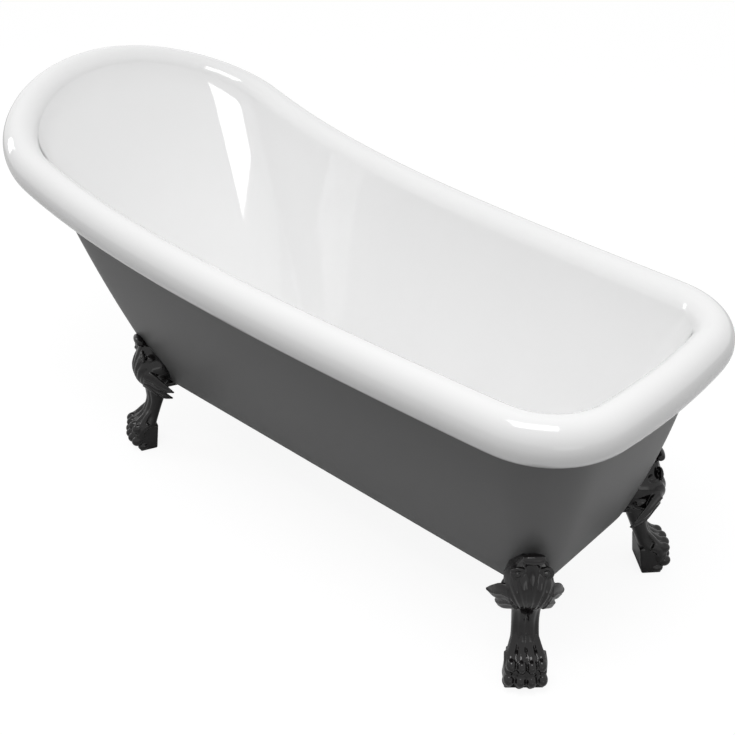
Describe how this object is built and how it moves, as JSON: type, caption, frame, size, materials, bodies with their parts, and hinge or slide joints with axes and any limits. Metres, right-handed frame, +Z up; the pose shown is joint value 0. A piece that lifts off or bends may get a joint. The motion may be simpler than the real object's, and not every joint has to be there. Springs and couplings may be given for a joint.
{
  "type": "freestanding slipper bathtub",
  "caption": "Freestanding roll-top slipper bath: white basin with a raised head end in a grey outer skin, on cast claw feet with levelling screws, with a waste and an overflow.",
  "frame": {"origin": "on the floor under the middle of the bath", "axes": "+X from the raised head end to the low foot end, +Y to the bather's left, +Z up"},
  "size_m": [1.5496, 0.6976, 0.7899],
  "materials": {
    "acrylic": "white gloss acrylic",
    "skin": "satin grey acrylic",
    "foot_black": "gloss black paint on a casting",
    "board": "raw chipboard",
    "steel": "zinc plated",
    "chrome": "polished",
    "brass": "turned",
    "rubber": "matt",
    "fitting": "moulded",
    "pipe": "flexible hose",
    "pad": "nylon"
  },
  "bodies": {
    "bath": {"inner_shell": "acrylic", "outer_skin": "skin", "base_board": "board", "foot_bolts": "steel", "foot_washers": "steel", "foot_nuts": "steel", "waste_flange": "chrome", "waste_upper_seal": "rubber", "waste_lower_seal": "rubber", "waste_lock_nut": "brass", "waste_body": "fitting", "overflow_cover": "chrome", "overflow_seal": "rubber", "overflow_collector": "fitting", "overflow_pipe": "pipe", "pipe_nuts": "fitting", "claw_foot_head_left": "foot_black", "claw_foot_head_right": "foot_black", "claw_foot_foot_left": "foot_black", "claw_foot_foot_right": "foot_black"},
    "plug": {"waste_plug": "chrome", "plug_seal": "rubber", "plug_stem": "brass"},
    "pad_head_left": {"leveller_pad_head_left": "pad"},
    "screw_head_left": {"leveller_screw_head_left": "steel"},
    "pad_head_right": {"leveller_pad_head_right": "pad"},
    "screw_head_right": {"leveller_screw_head_right": "steel"},
    "pad_foot_left": {"leveller_pad_foot_left": "pad"},
    "screw_foot_left": {"leveller_screw_foot_left": "steel"},
    "pad_foot_right": {"leveller_pad_foot_right": "pad"},
    "screw_foot_right": {"leveller_screw_foot_right": "steel"}
  },
  "joints": [
    {"name": "plug_lift", "type": "slide", "parent": "bath", "child": "plug", "axis": [0, 0, 1], "range_m": [0, 0.01]},
    {"name": "pad_lower_head_left", "type": "slide", "parent": "bath", "child": "pad_head_left", "axis": [0, 0, -1], "range_m": [0, 0.012]},
    {"name": "screw_turn_head_left", "type": "hinge", "parent": "pad_head_left", "child": "screw_head_left", "pos_m": [-0.39895, 0.2191, 0.002], "axis": [0, 0, -1], "range_deg": [0, 2881]},
    {"name": "pad_lower_head_right", "type": "slide", "parent": "bath", "child": "pad_head_right", "axis": [0, 0, -1], "range_m": [0, 0.012]},
    {"name": "screw_turn_head_right", "type": "hinge", "parent": "pad_head_right", "child": "screw_head_right", "pos_m": [-0.39895, -0.2191, 0.002], "axis": [0, 0, -1], "range_deg": [0, 2881]},
    {"name": "pad_lower_foot_left", "type": "slide", "parent": "bath", "child": "pad_foot_left", "axis": [0, 0, -1], "range_m": [0, 0.012]},
    {"name": "screw_turn_foot_left", "type": "hinge", "parent": "pad_foot_left", "child": "screw_foot_left", "pos_m": [0.663, 0.21009, 0.002], "axis": [0, 0, -1], "range_deg": [0, 2881]},
    {"name": "pad_lower_foot_right", "type": "slide", "parent": "bath", "child": "pad_foot_right", "axis": [0, 0, -1], "range_m": [0, 0.012]},
    {"name": "screw_turn_foot_right", "type": "hinge", "parent": "pad_foot_right", "child": "screw_foot_right", "pos_m": [0.663, -0.21009, 0.002], "axis": [0, 0, -1], "range_deg": [0, 2881]}
  ],
  "couplings": [
    {"joint": "screw_turn_head_left", "follows": "pad_lower_head_left", "rad_per_m": 4188.8},
    {"joint": "screw_turn_head_right", "follows": "pad_lower_head_right", "rad_per_m": 4188.8},
    {"joint": "screw_turn_foot_left", "follows": "pad_lower_foot_left", "rad_per_m": 4188.8},
    {"joint": "screw_turn_foot_right", "follows": "pad_lower_foot_right", "rad_per_m": 4188.8}
  ]
}
